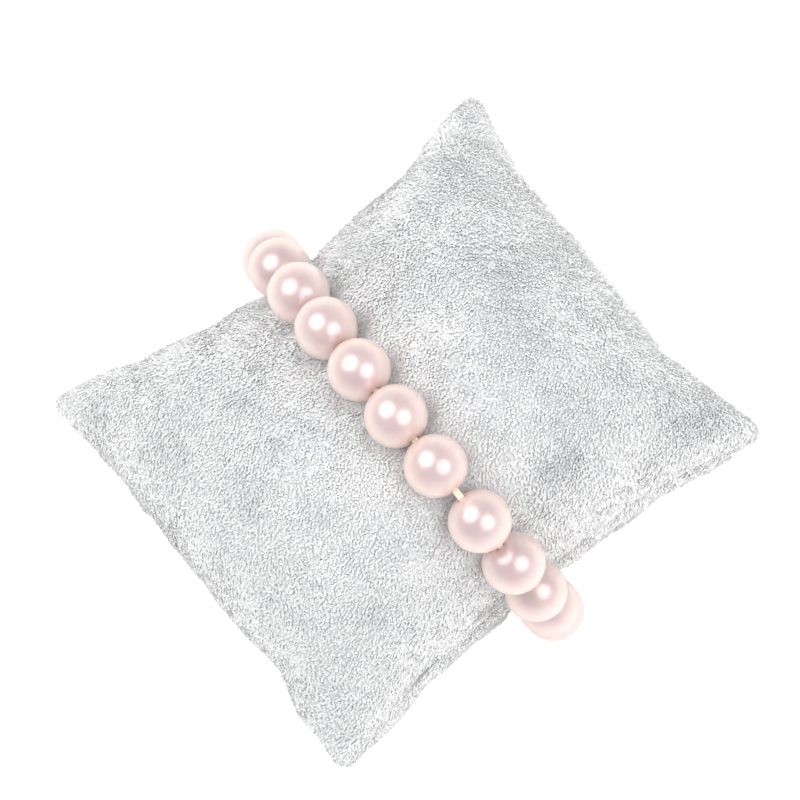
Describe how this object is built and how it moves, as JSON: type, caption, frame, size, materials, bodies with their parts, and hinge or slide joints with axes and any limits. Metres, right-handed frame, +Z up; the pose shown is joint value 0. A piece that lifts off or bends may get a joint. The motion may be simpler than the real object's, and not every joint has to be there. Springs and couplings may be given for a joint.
{
  "type": "jewellery display pillow",
  "caption": "Small stuffed plush display pillow with pointed corners, carrying a stretch bracelet of round pearl beads around its waist.",
  "frame": {"origin": "middle of the footprint box, on the table the pillow rests on", "axes": "+X along the pillow's long axis, across the bracelet's plane; +Y towards the pillow's far long side; +Z up"},
  "size_m": [0.0862, 0.0842, 0.0618],
  "materials": {
    "plush": "short light grey pile",
    "fibre": "loose white fibre",
    "thread": "grey sewing thread",
    "elastic": "cream, smooth",
    "pearl": "pale pink pearl lustre"
  },
  "bodies": {
    "pillow": {"cover_top_panel": "plush", "cover_bottom_panel": "plush", "fibre_filling": "fibre", "main_seam_thread": "thread", "closing_seam_thread": "thread"},
    "bracelet": {"elastic_cord": "elastic"},
    "bead_01": {"pearl_bead_01": "pearl"},
    "bead_02": {"pearl_bead_02": "pearl"},
    "bead_03": {"pearl_bead_03": "pearl"},
    "bead_04": {"pearl_bead_04": "pearl"},
    "bead_05": {"pearl_bead_05": "pearl"},
    "bead_06": {"pearl_bead_06": "pearl"},
    "bead_07": {"pearl_bead_07": "pearl"},
    "bead_08": {"pearl_bead_08": "pearl"},
    "bead_09": {"pearl_bead_09": "pearl"},
    "bead_10": {"pearl_bead_10": "pearl"},
    "bead_11": {"pearl_bead_11": "pearl"},
    "bead_12": {"pearl_bead_12": "pearl"},
    "bead_13": {"pearl_bead_13": "pearl"},
    "bead_14": {"pearl_bead_14": "pearl"},
    "bead_15": {"pearl_bead_15": "pearl"},
    "bead_16": {"pearl_bead_16": "pearl"},
    "bead_17": {"pearl_bead_17": "pearl"},
    "bead_18": {"pearl_bead_18": "pearl"},
    "bead_19": {"pearl_bead_19": "pearl"},
    "bead_20": {"pearl_bead_20": "pearl"}
  },
  "joints": [
    {"name": "bracelet_slide", "type": "slide", "parent": "pillow", "child": "bracelet", "axis": [1, 0, 0], "range_m": [-0.003, 0.003]},
    {"name": "bead_01_spin", "type": "hinge", "parent": "bracelet", "child": "bead_01", "pos_m": [-0.00047, 0.03466, 0.03213], "axis": [0, -0.2882, 0.9576], "continuous": true},
    {"name": "bead_02_spin", "type": "hinge", "parent": "bracelet", "child": "bead_02", "pos_m": [-0.00047, 0.02982, 0.04099], "axis": [0, -0.6182, 0.786], "continuous": true},
    {"name": "bead_03_spin", "type": "hinge", "parent": "bracelet", "child": "bead_03", "pos_m": [-0.00047, 0.02235, 0.04779], "axis": [0, -0.8157, 0.5785], "continuous": true},
    {"name": "bead_04_spin", "type": "hinge", "parent": "bracelet", "child": "bead_04", "pos_m": [-0.00047, 0.01346, 0.05259], "axis": [0, -0.9215, 0.3884], "continuous": true},
    {"name": "bead_05_spin", "type": "hinge", "parent": "bracelet", "child": "bead_05", "pos_m": [-0.00047, 0.00382, 0.0556], "axis": [0, -0.9765, 0.2155], "continuous": true},
    {"name": "bead_06_spin", "type": "hinge", "parent": "bracelet", "child": "bead_06", "pos_m": [-0.00047, -0.00619, 0.05693], "axis": [0, -0.9992, 0.0396], "continuous": true},
    {"name": "bead_07_spin", "type": "hinge", "parent": "bracelet", "child": "bead_07", "pos_m": [-0.00047, -0.01628, 0.0564], "axis": [0, -0.972, -0.2351], "continuous": true},
    {"name": "bead_08_spin", "type": "hinge", "parent": "bracelet", "child": "bead_08", "pos_m": [-0.00047, -0.02648, 0.05202], "axis": [0, -0.8162, -0.5777], "continuous": true},
    {"name": "bead_09_spin", "type": "hinge", "parent": "bracelet", "child": "bead_09", "pos_m": [-0.00047, -0.03316, 0.04445], "axis": [0, -0.5076, -0.8616], "continuous": true},
    {"name": "bead_10_spin", "type": "hinge", "parent": "bracelet", "child": "bead_10", "pos_m": [-0.00047, -0.03655, 0.03493], "axis": [0, -0.2038, -0.979], "continuous": true},
    {"name": "bead_11_spin", "type": "hinge", "parent": "bracelet", "child": "bead_11", "pos_m": [-0.00047, -0.03724, 0.02485], "axis": [0, 0.0253, -0.9997], "continuous": true},
    {"name": "bead_12_spin", "type": "hinge", "parent": "bracelet", "child": "bead_12", "pos_m": [-0.00047, -0.03604, 0.01485], "axis": [0, 0.458, -0.889], "continuous": true},
    {"name": "bead_13_spin", "type": "hinge", "parent": "bracelet", "child": "bead_13", "pos_m": [-0.00047, -0.02859, 0.00807], "axis": [0, 0.9001, -0.4357], "continuous": true},
    {"name": "bead_14_spin", "type": "hinge", "parent": "bracelet", "child": "bead_14", "pos_m": [-0.00047, -0.01865, 0.00643], "axis": [0, 0.9961, -0.088], "continuous": true},
    {"name": "bead_15_spin", "type": "hinge", "parent": "bracelet", "child": "bead_15", "pos_m": [-0.00047, -0.00857, 0.0063], "axis": [0, 1, -0.0048], "continuous": true},
    {"name": "bead_16_spin", "type": "hinge", "parent": "bracelet", "child": "bead_16", "pos_m": [-0.00047, 0.0015, 0.00634], "axis": [0, 0.9997, 0.0228], "continuous": true},
    {"name": "bead_17_spin", "type": "hinge", "parent": "bracelet", "child": "bead_17", "pos_m": [-0.00047, 0.01287, 0.00679], "axis": [0, 0.9958, 0.0914], "continuous": true},
    {"name": "bead_18_spin", "type": "hinge", "parent": "bracelet", "child": "bead_18", "pos_m": [-0.00047, 0.02283, 0.0083], "axis": [0, 0.9552, 0.296], "continuous": true},
    {"name": "bead_19_spin", "type": "hinge", "parent": "bracelet", "child": "bead_19", "pos_m": [-0.00047, 0.0319, 0.01269], "axis": [0, 0.6767, 0.7363], "continuous": true},
    {"name": "bead_20_spin", "type": "hinge", "parent": "bracelet", "child": "bead_20", "pos_m": [-0.00047, 0.03551, 0.02209], "axis": [0, 0.1408, 0.99], "continuous": true}
  ]
}
